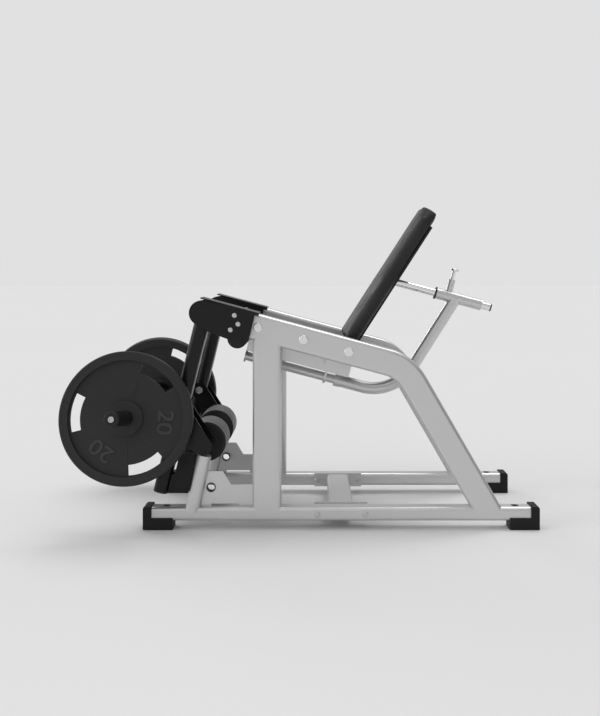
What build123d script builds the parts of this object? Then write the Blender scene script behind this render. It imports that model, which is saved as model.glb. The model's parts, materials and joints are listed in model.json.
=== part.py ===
"""Plate-loaded leg machine: two independent swinging arms, each with a shin roller and a weight horn.

The person sits facing -X between two side frames. Left is -Y and right is +Y.
+Z is up, the floor is Z = 0, and the origin is the middle of the machine on the floor.
Every length is in millimetres and every angle in degrees.

Side-view places are given in one of three ways. knee() counts from the knee axis along X
and Z. sloped() counts along the top rail's slope and square above it. on_arm() counts down
the resting arm and square behind it.
"""

from build123d import *
import os
from math import cos, radians, sin, tan

os.makedirs("parts", exist_ok=True)

# ---- side frames -----------------------------------------------------------------------
FRAME_SPACING = 520  # between the middles of the two side frames
TUBE_WIDTH = 60  # every frame tube, across the machine
TUBE_WALL = 3
TUBE_ROUND = 13  # outer corner of the frame tubes
KNEE_HEIGHT = 744  # knee axis above the floor
SLOPE = 15  # top rail, down towards the back
RAIL_DEPTH = 92
RAIL_START = 100  # knee axis to the rail's front end, along the slope
RAIL_CORNER = 693  # knee axis to the corner of rail and rear leg, along X
RAIL_BEND = 150  # bend radius on the tube's middle line
LEG_TILT = 30  # rear leg from the vertical
POST_AT = 217  # knee axis to the middle of the front post
POST_DEPTH = 98
BASE_HEIGHT = 48
FLOOR_GAP = 29  # under the base rails
BASE_FRONT = -182  # knee axis to the base rail's front end
BASE_REAR = 1128
SHOE_END = 26  # rubber beyond the end of the rail
SHOE_LENGTH = 102
SHOE_WALL = 5
SHOE_SIDE = 40  # height of the shoe's side walls
SHOE_LIP = 3  # the shoe's end stands this far above the rail
ANCHOR_AT = -129  # knee axis to the front floor anchor
ANCHOR_SPACING = 1204
ANCHOR_HOLE = 6.5  # radius in the lower wall
ANCHOR_ACCESS = 13.5  # radius in the upper wall
ANCHOR_SHOE = 8  # radius through the rubber sole
BEAM_AT = 473  # knee axis to the middle of the base cross beam
BEAM_WIDTH = 87
FLANGE_WIDTH = 187
FLANGE_THICK = 8
BEAM_BOLTS = 165.5  # between the two bolts of a flange
BOLT_RADIUS = 6
BOLT_HEAD = 10
CAP_RADIUS = 16.5  # domed caps over the rail bolts
CAP_RISE = 5
CAP_FIRST = 193
CAP_PITCH = 162
CROSS_TUBE_RADIUS = 17  # round tube between the rear legs
CROSS_TUBE_HEIGHT = 500

# ---- arm stops and gussets -------------------------------------------------------------
STOP_WIDTH = 50
STOP_ROUND = 20
STOP_TILT = 11.8
STOP_FOOT = -37.5  # knee axis to the stop post's middle line at the base rail's top
STOP_TOP = 253
STOP_INNER, STOP_OUTER = 240, 295  # from the middle of the machine
EAR_RADIUS = 24
BUFFER_INNER, BUFFER_OUTER = 236, 291
BUFFER_LOW, BUFFER_HIGH = 126, 263
BUFFER_GAP = 10  # resting arm to the body of the buffer
BUMP_LOW, BUMP_HIGH = 134, 194
GUSSET_THICK = 8
GUSSET_HIGH, GUSSET_LOW = 196, 149
GUSSET_HOLE = 16
GUSSET_HOLE_AT = (23, 140)  # knee axis along X, and above the floor
NOTCH_HEIGHT = 8

# ---- knee pivots and arms --------------------------------------------------------------
ARM_TILT = 13.7  # arm from the vertical at rest
ARM_WIDTH = 50
ARM_DEPTH = 76  # across the machine
ARM_ROUND = 22
ARM_WALL = 4
ARM_LENGTH = 631
HUB_RADIUS = 38
BEARING_RADIUS = 26
BEARING_DEPTH = 18
BEARING_LIP = 3.7  # flange of the bearing bush, beside the hub
SHAFT_RADIUS = 12.5
BRACKET_THICK = 8
BRACKET_GAP = 4  # arm to bracket plate, on each side
BRACKET_ROUND = 43
BRACKET_END = 172
COVER_THICK = 4
BRACKET_BOLTS = ((106, 21), (125.5, -4.5), (105.5, -30))
RUN_FIT = 0.05  # running clearance on a radius
CONTACT_GAP = 0.3  # faces that only rest against each other

# ---- weight horns and plates -----------------------------------------------------------
HORN_DOWN, HORN_AHEAD = 408, 161  # knee axis to the horn, on the arm
HORN_TILT = 8
HORN_RADIUS = 24.5
HORN_WALL = 4
HORN_LENGTH = 268
HORN_CAP = 9
HORN_GROOVE = (70, 2, 1)  # groove beyond the first plate: place, width and depth
BOSS_RADIUS = 36
BOSS_LENGTH = 56
LINK_BEAM = 60  # height of the beam that carries the horn
STOP_RING_RADIUS = 42
STOP_RING_START, STOP_RING_END = 15, 27
PLATE_RADIUS = 225
PLATE_THICK = 41
PLATE_WEB = 17
PLATE_BORE = 25.2
PLATE_HUB = 57
PLATE_RIM = 195  # inside radius of the rim
WINDOW_INNER, WINDOW_OUTER = 155, 190
WINDOW_SPAN = 41
WINDOW_FIRST = 54  # angle of the first hand window above the rear horizontal
SECTOR_INNER, SECTOR_DEPTH = 75, 1.5  # shallow step in the web between the hub and a window
GROOVES = ((44, 47), (211, 214))  # inside and outside radius of the rings on the hub and rim
GROOVE_DEPTH = 1.5

# ---- shin rollers ----------------------------------------------------------------------
LINK_DOWN = 339  # knee axis to the link's bolt, down the arm
LINK_THICK = 6
LINK_GAP = 2
LINK_ROUND = 30
AXLE_DROP = 456  # knee axis to the roller axle, straight down
AXLE_RADIUS = 12
AXLE_INNER = 58  # inner end of the axle, from the middle of the machine
ROLLER_RADIUS = 70
ROLLER_INNER, ROLLER_OUTER = 68, 211
CORE_RADIUS = 22
LINK_BOLT = 8
HEX_SIZE = 26

# ---- seat ------------------------------------------------------------------------------
SEAT_HALF = 190
SEAT_TOP = 16  # above the rail's middle line
SEAT_BASE = -44
SEAT_FRONT, SEAT_REAR = 112, 590
ROLL_AT = (126, -66)
ROLL_RADIUS = 39
PAN_HALF = 205
PAN_SHEET = 4
PAN_FRONT, PAN_REAR = 170, 543
PAN_BOTTOM = -94
TIES_AT = (250, 470)
TIE_WIDTH = 40
TIE_DEPTH = 20
SPINE_BELOW = 135
SPINE_RADIUS = 16.5
SPINE_START, SPINE_END = 166, 530
SPINE_WALL = 2.5
SPINE_CAP = 23
COLLAR_RADIUS = 24.5
COLLAR_LENGTH = 24

# ---- back rest -------------------------------------------------------------------------
CARRIER_RADIUS = 22.5
CARRIER_CORNER = 738
CARRIER_BEND = 170
CARRIER_TILT = 32.5
ROD_ABOVE = 277  # rail's middle line up to the rod
ROD_RADIUS = 14
ROD_FRONT, ROD_REAR = 630, 1000
ROD_CAP = 5
SLEEVE_RADIUS = 20.5
SLEEVE_BORE = 14.4
SLEEVE_FRONT, SLEEVE_REAR = 792, 967
RING_RADIUS = 23
RING_LENGTH = 5
PIN_AT = 838
BARREL_RADIUS, BARREL_BORE = 12.5, 8.2
BARREL_HEIGHT = 44  # above the sleeve's wall
BARREL_LID = 4
PIN_RADIUS = 7.5
NOSE_RADIUS = 4
STEM_RADIUS = 5
SHOULDER_LOW, SHOULDER_HIGH = 24, 30  # the pin's shoulder, up from the rod's middle line
PIN_CLEARANCE = 0.3
KNOB_RADIUS = 16
KNOB_HEIGHT = 9
KEYWAY_DEPTH = 5
KEYWAY_FRONT, KEYWAY_REAR = 728, 880
BACK_TILT = 32.8
BACK_FOOT = (542.6, 26)  # lower rear corner of the back pad, along the slope and above it
BACK_LENGTH = 558
BACK_SIDE = 39  # square side of the pad
BACK_BEVEL = 20
BACK_WIDE, BACK_NARROW = 140, 122  # half widths
BACK_FLAT = 84  # half width of the flat front
BOARD_THICK = 8
BOARD_INSET = 12
ROD_FLANGE = 6  # thickness of the plate that holds the rod to the board

# ---- values worked out from the sizes above --------------------------------------------
SIDES = {"left": -1, "right": 1}
SIDE_Y = FRAME_SPACING / 2
HALF_TUBE = TUBE_WIDTH / 2
RAIL_OUTER, RAIL_INNER = SIDE_Y + HALF_TUBE, SIDE_Y - HALF_TUBE
BASE_TOP = FLOOR_GAP + BASE_HEIGHT
ARM_OUTER, ARM_INNER = SIDE_Y + ARM_DEPTH / 2, SIDE_Y - ARM_DEPTH / 2
S_COS, S_SIN = cos(radians(SLOPE)), sin(radians(SLOPE))
A_COS, A_SIN = cos(radians(ARM_TILT)), sin(radians(ARM_TILT))
H_COS, H_SIN = cos(radians(HORN_TILT)), sin(radians(HORN_TILT))
HORN_X = -HORN_DOWN * A_SIN - HORN_AHEAD * A_COS
HORN_Z = KNEE_HEIGHT - HORN_DOWN * A_COS + HORN_AHEAD * A_SIN
KNEE_X = -(BASE_REAR + SHOE_END + HORN_X - PLATE_RADIUS) / 2


def knee(x, z):
    """A side-view point: x from the knee axis and z from the floor."""
    return (KNEE_X + x, z)


def sloped(along, above):
    """A side-view point: along the rail's slope from the knee axis, and square above it."""
    x = KNEE_X + along * S_COS + above * S_SIN
    return (x, KNEE_HEIGHT - along * S_SIN + above * S_COS)


def on_arm(down, behind=0.0):
    """A side-view point: down the resting arm from the knee axis, and square behind it."""
    x = KNEE_X - down * A_SIN + behind * A_COS
    return (x, KNEE_HEIGHT - down * A_COS - behind * A_SIN)


def on_stop(height, behind=0.0):
    """A side-view point on the stop post's middle line at a height, or square behind it."""
    lean = tan(radians(STOP_TILT))
    x = KNEE_X + STOP_FOOT + (height - BASE_TOP) * lean + behind * cos(radians(STOP_TILT))
    return (x, height - behind * sin(radians(STOP_TILT)))


def on_back(up, ahead=0.0):
    """A side-view point: up the back pad's rear face from its foot, and square ahead of it."""
    foot = sloped(*BACK_FOOT)
    lean = radians(BACK_TILT)
    return (foot[0] + up * sin(lean) - ahead * cos(lean), foot[1] + up * cos(lean) + ahead * sin(lean))


def upright(y):
    """The plane along the machine at y. Its own x and y are the machine's X and Z."""
    return Plane(origin=(0, y, 0), x_dir=(1, 0, 0), z_dir=(0, -1, 0))


def across(side, inner, outer):
    """The upright plane and the length of an extrusion from inner to outer on one side."""
    ends = sorted((side * inner, side * outer))
    return upright(ends[1]), ends[1] - ends[0]


def down_slope(along, above, y=0.0):
    """A plane square to the slope that looks back down it. Its own x is the machine's Y."""
    x, z = sloped(along, above)
    return Plane(origin=(x, y, z), x_dir=(0, 1, 0), z_dir=(S_COS, 0, -S_SIN))


def on_horn(side, out):
    """A plane square to a weight horn, out along it from the face of its boss."""
    origin = (KNEE_X + HORN_X, side * (ARM_OUTER + out * H_COS), HORN_Z + out * H_SIN)
    return Plane(origin=origin, x_dir=(1, 0, 0), z_dir=(0, side * H_COS, H_SIN))


def save(part, label):
    """Labels a finished piece and writes its STEP file."""
    part.label = label
    export_step(part, f"parts/{label}.step")


def slab(points, plane, length):
    """A flat piece: a side-view outline, given its thickness from the plane."""
    with BuildPart() as piece:
        with BuildSketch(plane):
            with BuildLine():
                Polyline(*points, close=True)
            make_face()
        extrude(amount=length)
    return piece.part


def bar(plane, radius, length, bore=0.0):
    """A round bar or tube that starts on a plane."""
    with BuildPart() as piece:
        with BuildSketch(plane):
            Circle(radius)
            if bore:
                Circle(bore, mode=Mode.SUBTRACT)
        extrude(amount=length)
    return piece.part


def cross_bar(centre, radius, plane, length, bore=0.0):
    """A round bar or tube across the machine, through a side-view point."""
    with BuildPart() as piece:
        with BuildSketch(plane):
            with Locations(centre):
                Circle(radius)
                if bore:
                    Circle(bore, mode=Mode.SUBTRACT)
        extrude(amount=length)
    return piece.part


def group(pieces):
    """Separate solids that share one node."""
    return Compound(children=list(pieces))


# ---- side frames -----------------------------------------------------------------------
def base_solid(side, wall=0.0):
    """The base rail's outside, or its inside if the wall is given."""
    with BuildPart() as solid:
        with BuildSketch(Plane.YZ.offset(KNEE_X + BASE_FRONT)):
            with Locations((side * SIDE_Y, FLOOR_GAP + BASE_HEIGHT / 2)):
                RectangleRounded(TUBE_WIDTH - 2 * wall, BASE_HEIGHT - 2 * wall, TUBE_ROUND - wall)
        extrude(amount=BASE_REAR - BASE_FRONT)
    return solid.part


def base_rail(side):
    """Flat tube along the floor, with anchor holes near its ends and bolt holes at the beam."""
    middle = FLOOR_GAP + BASE_HEIGHT / 2
    with BuildPart() as rail:
        add(base_solid(side))
        add(base_solid(side, TUBE_WALL), mode=Mode.SUBTRACT)
        for at in (ANCHOR_AT, ANCHOR_AT + ANCHOR_SPACING):
            with Locations((KNEE_X + at, side * SIDE_Y, BASE_TOP)):
                Cylinder(ANCHOR_ACCESS, BASE_HEIGHT, mode=Mode.SUBTRACT)
            with Locations((KNEE_X + at, side * SIDE_Y, FLOOR_GAP)):
                Cylinder(ANCHOR_HOLE, BASE_HEIGHT, mode=Mode.SUBTRACT)
        for shift in (-BEAM_BOLTS / 2, BEAM_BOLTS / 2):
            with Locations(Location((KNEE_X + BEAM_AT + shift, side * SIDE_Y, middle), (90, 0, 0))):
                Cylinder(BOLT_RADIUS, TUBE_WIDTH + 2, mode=Mode.SUBTRACT)
    return rail.part


def rail_line(side):
    """Middle line of the top rail and its rear leg, down to the middle of the base rail."""
    corner = (KNEE_X + RAIL_CORNER, KNEE_HEIGHT - RAIL_CORNER * tan(radians(SLOPE)))
    drop = corner[1] - FLOOR_GAP - BASE_HEIGHT / 2
    foot = (corner[0] + drop * tan(radians(LEG_TILT)), corner[1] - drop)
    with BuildLine(upright(side * SIDE_Y)) as line:
        FilletPolyline(sloped(RAIL_START, 0), corner, foot, radius=RAIL_BEND)
    return line.wires()[0]


def rail_solid(side, wall=0.0):
    """The bent rail and leg, shrunk by the wall for its inside, before the foot is coped."""
    line = rail_line(side)
    with BuildPart() as rail:
        with BuildSketch(Plane(origin=line @ 0, x_dir=(0, 1, 0), z_dir=line % 0)):
            RectangleRounded(TUBE_WIDTH - 2 * wall, RAIL_DEPTH - 2 * wall, TUBE_ROUND - wall)
        sweep(path=line)
    return rail.part


def top_rail(side):
    """Top rail and rear leg, one bent tube that stands on the base rail."""
    with BuildPart() as rail:
        add(rail_solid(side))
        add(rail_solid(side, TUBE_WALL), mode=Mode.SUBTRACT)
        add(base_solid(side), mode=Mode.SUBTRACT)
        with Locations((0, side * SIDE_Y, 0)):
            Box(3 * BASE_REAR, 2 * TUBE_WIDTH, 2 * (BASE_TOP - TUBE_ROUND), mode=Mode.SUBTRACT)
        add(cross_tube_solid(), mode=Mode.SUBTRACT)
    return rail.part


def front_post(side):
    """Upright tube from the base rail to the top rail, coped to both."""
    with BuildPart() as post:
        with BuildSketch(Plane.XY.offset(BASE_TOP - TUBE_ROUND)):
            with Locations((KNEE_X + POST_AT, side * SIDE_Y)):
                RectangleRounded(POST_DEPTH, TUBE_WIDTH, TUBE_ROUND)
                RectangleRounded(POST_DEPTH - 2 * TUBE_WALL, TUBE_WIDTH - 2 * TUBE_WALL,
                                 TUBE_ROUND - TUBE_WALL, mode=Mode.SUBTRACT)
        extrude(amount=sloped(POST_AT / S_COS, 0)[1] - BASE_TOP + TUBE_ROUND)
        add(base_solid(side), mode=Mode.SUBTRACT)
        add(rail_solid(side), mode=Mode.SUBTRACT)
    return post.part


def shoe(side, end):
    """Rubber shoe on one end of a base rail: a closed end, a sole and two low side walls."""
    wide = TUBE_WIDTH + 2 * SHOE_WALL
    outer = KNEE_X + (BASE_REAR + SHOE_END if end > 0 else BASE_FRONT - SHOE_END)
    end_length = SHOE_END + 3
    with BuildPart() as rubber:
        with BuildSketch(Plane.XY):
            with Locations((outer - end * SHOE_LENGTH / 2, side * SIDE_Y)):
                RectangleRounded(SHOE_LENGTH, wide, 4)
        extrude(amount=SHOE_SIDE)
        with BuildSketch(Plane.XY):
            with Locations((outer - end * end_length / 2, side * SIDE_Y)):
                Rectangle(end_length, wide)
        extrude(amount=BASE_TOP + SHOE_LIP)
        corner = rubber.faces().sort_by(Axis.Z)[-1].edges().sort_by(Axis.X)
        fillet(corner[-1 if end > 0 else 0], 8)
        add(base_solid(side), mode=Mode.SUBTRACT)
        anchor = ANCHOR_AT + (ANCHOR_SPACING if end > 0 else 0)
        with Locations((KNEE_X + anchor, side * SIDE_Y, FLOOR_GAP / 2)):
            Cylinder(ANCHOR_SHOE, FLOOR_GAP + 2, mode=Mode.SUBTRACT)
    return rubber.part


def cross_beam():
    """Flat tube between the base rails, with a bolting flange on each end."""
    middle = FLOOR_GAP + BASE_HEIGHT / 2
    with BuildPart() as beam:
        with BuildSketch(Plane.XZ.offset(FLANGE_THICK - RAIL_INNER)):
            with Locations((KNEE_X + BEAM_AT, middle)):
                RectangleRounded(BEAM_WIDTH, BASE_HEIGHT, TUBE_ROUND)
                RectangleRounded(BEAM_WIDTH - 2 * TUBE_WALL, BASE_HEIGHT - 2 * TUBE_WALL,
                                 TUBE_ROUND - TUBE_WALL, mode=Mode.SUBTRACT)
        extrude(amount=2 * (RAIL_INNER - FLANGE_THICK))
        for side in SIDES.values():
            with Locations((KNEE_X + BEAM_AT, side * (RAIL_INNER - FLANGE_THICK / 2), middle + 1)):
                Box(FLANGE_WIDTH, FLANGE_THICK, BASE_HEIGHT + 4)
            for shift in (-BEAM_BOLTS / 2, BEAM_BOLTS / 2):
                spot = (KNEE_X + BEAM_AT + shift, side * (RAIL_INNER - FLANGE_THICK / 2), middle)
                with Locations(Location(spot, (90, 0, 0))):
                    Cylinder(BOLT_RADIUS, FLANGE_THICK + 2, mode=Mode.SUBTRACT)
    return beam.part


def button(side, centre, face, radius, rise, shank=0.0, depth=0.0):
    """Domed head on an outward face at |y| = face, with a shank inwards if depth is given."""
    plane, length = across(side, face, face + rise)
    with BuildPart() as head:
        add(cross_bar(centre, radius, plane, length))
        rims = head.edges().filter_by(GeomType.CIRCLE).sort_by(Axis.Y)
        fillet(rims[-1 if side > 0 else 0], 0.8 * rise)
        if depth:
            add(cross_bar(centre, shank, *across(side, face - depth, face)))
    return head.part


def beam_bolts():
    """Bolts through the base rails into the cross beam's flanges, each with a domed nut."""
    face = RAIL_INNER - FLANGE_THICK
    bolts = []
    for side in SIDES.values():
        for shift in (-BEAM_BOLTS / 2, BEAM_BOLTS / 2):
            centre = knee(BEAM_AT + shift, FLOOR_GAP + BASE_HEIGHT / 2)
            with BuildPart() as bolt:
                add(button(side, centre, RAIL_OUTER, BOLT_HEAD, 4, BOLT_RADIUS, RAIL_OUTER - face))
                add(button(-side, centre, -face, BOLT_HEAD, 5))
            bolts.append(bolt.part)
    return group(bolts)


def cross_tube_solid():
    """The rear cross tube's outside: it passes through the back carrier and into both legs."""
    foot_x = RAIL_CORNER + (KNEE_HEIGHT - RAIL_CORNER * tan(radians(SLOPE)) - CROSS_TUBE_HEIGHT) * tan(
        radians(LEG_TILT))
    plane, length = upright(RAIL_INNER + TUBE_WALL), 2 * (RAIL_INNER + TUBE_WALL)
    return cross_bar(knee(foot_x, CROSS_TUBE_HEIGHT), CROSS_TUBE_RADIUS, plane, length)


# ---- arm stops and gussets -------------------------------------------------------------
def stop_post(side):
    """Leaning oval post that the resting arm comes back to. Its round foot laps the base rail."""
    half = STOP_WIDTH / 2
    plane, length = across(side, STOP_INNER, STOP_OUTER)
    corners = [on_stop(BASE_TOP, -half), on_stop(STOP_TOP, -half)]
    corners += [on_stop(STOP_TOP, half), on_stop(BASE_TOP, half)]
    low = on_stop(BASE_TOP - STOP_WIDTH)
    lean = radians(STOP_TILT)
    section = Plane(origin=(low[0], side * (STOP_INNER + STOP_OUTER) / 2, low[1]),
                    x_dir=(0, 1, 0), z_dir=(sin(lean), 0, cos(lean)))
    with BuildPart() as post:
        with BuildSketch(section):
            RectangleRounded(STOP_OUTER - STOP_INNER, STOP_WIDTH, STOP_ROUND)
        extrude(amount=STOP_TOP)
        with BuildPart(mode=Mode.PRIVATE) as outline:
            add(slab(corners, plane, length))
            add(cross_bar(on_stop(BASE_TOP + 3), EAR_RADIUS, plane, length))
        add(outline.part, mode=Mode.INTERSECT)
        add(base_solid(side), mode=Mode.SUBTRACT)
        with Locations((KNEE_X, side * (RAIL_INNER + RAIL_OUTER) / 2, FLOOR_GAP)):
            Box(4 * STOP_WIDTH, TUBE_WIDTH, 2 * BASE_HEIGHT - 2 * TUBE_ROUND, mode=Mode.SUBTRACT)
    return post.part


def stop_buffer(side):
    """Rubber block on the stop post, with a bump that the resting arm lies against."""
    half = STOP_WIDTH / 2

    def behind_arm(height, gap):
        return on_arm((KNEE_HEIGHT - height) / A_COS, ARM_WIDTH / 2 + gap)

    outline = [on_stop(BUFFER_LOW, -half), behind_arm(BUMP_LOW, BUFFER_GAP)]
    outline += [behind_arm(BUMP_LOW, CONTACT_GAP), behind_arm(BUMP_HIGH, CONTACT_GAP)]
    outline += [behind_arm(BUMP_HIGH + 6, BUFFER_GAP), behind_arm(BUFFER_HIGH, BUFFER_GAP)]
    outline += [on_stop(STOP_TOP, -half)]
    return slab(outline, *across(side, BUFFER_INNER, BUFFER_OUTER))


def gusset_plate(side):
    """Upright plate between the stop post and the front post, with a bushed hole."""
    half = STOP_WIDTH / 2
    post = POST_AT - POST_DEPTH / 2
    lift = half * sin(radians(STOP_TILT))
    outline = [on_stop(BASE_TOP, half), on_stop(GUSSET_HIGH + lift, half), knee(63, GUSSET_HIGH)]
    outline += [knee(92, GUSSET_LOW), knee(post, GUSSET_LOW), knee(post, BASE_TOP)]
    outline += [knee(120, BASE_TOP), knee(118, BASE_TOP + NOTCH_HEIGHT)]
    outline += [knee(25, BASE_TOP + NOTCH_HEIGHT), knee(23, BASE_TOP)]
    plane, length = across(side, SIDE_Y - GUSSET_THICK / 2, SIDE_Y + GUSSET_THICK / 2)
    with BuildPart() as plate:
        add(slab(outline, plane, length))
        add(cross_bar(knee(*GUSSET_HOLE_AT), GUSSET_HOLE, plane, length), mode=Mode.SUBTRACT)
        add(base_solid(side), mode=Mode.SUBTRACT)
    return plate.part


def gusset_bush(side):
    """Ring that lines the gusset's hole."""
    plane, length = across(side, SIDE_Y - 2 * GUSSET_THICK, SIDE_Y + GUSSET_THICK)
    return cross_bar(knee(*GUSSET_HOLE_AT), GUSSET_HOLE, plane, length, bore=GUSSET_HOLE - 3)


# ---- knee pivots -----------------------------------------------------------------------
def bracket_plate(side, outer):
    """Pivot plate on one face of the top rail, with a welded spacer against the rail."""
    near = ARM_OUTER + BRACKET_GAP if outer else ARM_INNER - BRACKET_GAP
    far = near + BRACKET_THICK if outer else near - BRACKET_THICK
    rail_face = RAIL_OUTER if outer else RAIL_INNER
    plane, length = across(side, near, far)
    with BuildPart() as plate:
        with BuildSketch(plane):
            with BuildLine():
                corners = [(-5, BRACKET_ROUND), (80, 46.5), (BRACKET_END, 46.5), (BRACKET_END + 3, -53)]
                corners += [(103, -63), (32, -56), (-5, -BRACKET_ROUND)]
                Polyline(*[sloped(*corner) for corner in corners])
                ends = [sloped(*corners[-1]), sloped(-5 - BRACKET_ROUND, 0), sloped(*corners[0])]
                ThreePointArc(*ends)
            make_face()
        extrude(amount=length)
        spacer = [sloped(*corner) for corner in ((RAIL_START, -44), (RAIL_START, 44), (168, 44), (168, -44))]
        add(slab(spacer, *across(side, near, rail_face)))
        add(cross_bar(sloped(0, 0), SHAFT_RADIUS, plane, length), mode=Mode.SUBTRACT)
        for spot in BRACKET_BOLTS:
            hole = across(side, far, rail_face)
            add(cross_bar(sloped(*spot), BOLT_RADIUS, *hole), mode=Mode.SUBTRACT)
    return plate.part


def bracket_cover(side):
    """Flat cover over the two pivot plates of one side."""
    outline = [sloped(*spot) for spot in ((-22, 46.7), (185, 46.7), (185, 50.7), (-22, 50.7))]
    reach = ARM_DEPTH / 2 + BRACKET_GAP + BRACKET_THICK
    return slab(outline, *across(side, SIDE_Y - reach, SIDE_Y + reach))


def bracket_bolts():
    """Bolts that hold the pivot plates to the top rails, three on each plate."""
    outer_face = ARM_OUTER + BRACKET_GAP + BRACKET_THICK
    inner_face = ARM_INNER - BRACKET_GAP - BRACKET_THICK
    bolts = []
    for side in SIDES.values():
        for spot in BRACKET_BOLTS:
            depth = outer_face - RAIL_OUTER
            bolts.append(button(side, sloped(*spot), outer_face, 8.5, 3.5, BOLT_RADIUS, depth))
            bolts.append(button(-side, sloped(*spot), -inner_face, 8.5, 3.5, BOLT_RADIUS, depth))
    return group(bolts)


def pivot_shafts():
    """Fixed shafts through the pivot plates, one on each side."""
    reach = ARM_DEPTH / 2 + BRACKET_GAP + BRACKET_THICK
    return group(
        cross_bar(sloped(0, 0), SHAFT_RADIUS, *across(side, SIDE_Y - reach, SIDE_Y + reach))
        for side in SIDES.values()
    )


# ---- arms ------------------------------------------------------------------------------
def arm_plane(side, down):
    """A plane square to the resting arm that looks down it."""
    x, z = on_arm(down)
    return Plane(origin=(x, side * SIDE_Y, z), x_dir=(0, 1, 0), z_dir=(-A_SIN, 0, -A_COS))


def arm(side):
    """Flat-oval tube with its knee hub, and the short beam and boss that carry the horn."""
    hub_plane, hub_length = across(side, ARM_INNER, ARM_OUTER)
    with BuildPart() as tube:
        with BuildSketch(arm_plane(side, 0)):
            RectangleRounded(ARM_DEPTH, ARM_WIDTH, ARM_ROUND)
        extrude(amount=ARM_LENGTH)
        with BuildSketch(arm_plane(side, HUB_RADIUS + ARM_WALL)):
            RectangleRounded(ARM_DEPTH - 2 * ARM_WALL, ARM_WIDTH - 2 * ARM_WALL, ARM_ROUND - ARM_WALL)
        extrude(amount=ARM_LENGTH, mode=Mode.SUBTRACT)
        add(cross_bar(sloped(0, 0), HUB_RADIUS, hub_plane, hub_length))
        half = LINK_BEAM / 2
        root = ARM_WIDTH / 2 - ARM_WALL / 2
        beam = [on_arm(HORN_DOWN - half, -root), on_arm(HORN_DOWN - half, -HORN_AHEAD)]
        beam += [on_arm(HORN_DOWN + half, -HORN_AHEAD), on_arm(HORN_DOWN + half, -root)]
        add(slab(beam, *across(side, ARM_INNER + 30, ARM_OUTER - 6)))
        add(bar(on_horn(side, -BOSS_LENGTH), BOSS_RADIUS, BOSS_LENGTH))
        bore = across(side, ARM_INNER + BEARING_DEPTH, ARM_OUTER - BEARING_DEPTH)
        add(cross_bar(sloped(0, 0), SHAFT_RADIUS + 2, *bore), mode=Mode.SUBTRACT)
        for inner in (ARM_INNER, ARM_OUTER - BEARING_DEPTH):
            seat = across(side, inner, inner + BEARING_DEPTH)
            add(cross_bar(sloped(0, 0), BEARING_RADIUS, *seat), mode=Mode.SUBTRACT)
        add(cross_bar(on_arm(LINK_DOWN), LINK_BOLT, hub_plane, hub_length), mode=Mode.SUBTRACT)
    return tube.part


def arm_bearings(side):
    """Two flanged bearing bushes in the arm's hub."""
    bore = SHAFT_RADIUS + RUN_FIT
    bushes = []
    for face, inward in ((ARM_INNER, 1), (ARM_OUTER, -1)):
        with BuildPart() as bush:
            add(cross_bar(sloped(0, 0), BEARING_RADIUS, *across(side, face, face + inward * BEARING_DEPTH),
                          bore=bore))
            add(cross_bar(sloped(0, 0), BEARING_RADIUS + 4, *across(side, face - inward * BEARING_LIP, face),
                          bore=bore))
        bushes.append(bush.part)
    return group(bushes)


def arm_cap(side):
    """Plastic cap in the lower end of the arm."""
    with BuildPart() as cap:
        with BuildSketch(arm_plane(side, ARM_LENGTH)):
            RectangleRounded(ARM_DEPTH, ARM_WIDTH, ARM_ROUND)
        extrude(amount=3)
        with BuildSketch(arm_plane(side, ARM_LENGTH - 15)):
            RectangleRounded(ARM_DEPTH - 2 * ARM_WALL, ARM_WIDTH - 2 * ARM_WALL, ARM_ROUND - ARM_WALL)
        extrude(amount=15)
    return cap.part


# ---- weight horns and plates -----------------------------------------------------------
def weight_horn(side):
    """Tube that the weight plates slide onto, with the ring that they rest against."""
    with BuildPart() as horn:
        add(bar(on_horn(side, 0), HORN_RADIUS, HORN_LENGTH))
        add(bar(on_horn(side, STOP_RING_START), STOP_RING_RADIUS, STOP_RING_END - STOP_RING_START))
        add(bar(on_horn(side, 0), HORN_RADIUS - HORN_WALL, HORN_LENGTH), mode=Mode.SUBTRACT)
        place, width, depth = HORN_GROOVE
        groove = bar(on_horn(side, place), HORN_RADIUS + 1, width, bore=HORN_RADIUS - depth)
        add(groove, mode=Mode.SUBTRACT)
    return horn.part


def horn_cap(side):
    """Cap in the horn's outer end, held by a bolt in its middle."""
    with BuildPart() as cap:
        add(bar(on_horn(side, HORN_LENGTH), HORN_RADIUS - 0.5, HORN_CAP))
        add(bar(on_horn(side, HORN_LENGTH - 20), HORN_RADIUS - HORN_WALL, 20))
        fillet(cap.edges().filter_by(GeomType.CIRCLE).sort_by(Axis.Y)[-1 if side > 0 else 0], 3)
    return cap.part


def sector(plane, near, far, middle, depth):
    """A ring segment as wide as a hand window, raised from a plane about its origin."""
    first = middle - WINDOW_SPAN / 2
    with BuildPart(mode=Mode.PRIVATE) as piece:
        with BuildSketch(plane):
            with BuildLine():
                outside = CenterArc((0, 0), far, first, WINDOW_SPAN)
                inside = CenterArc((0, 0), near, first, WINDOW_SPAN)
                Line(outside @ 0, inside @ 0)
                Line(outside @ 1, inside @ 1)
            make_face()
        extrude(amount=depth)
    return piece.part


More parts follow.
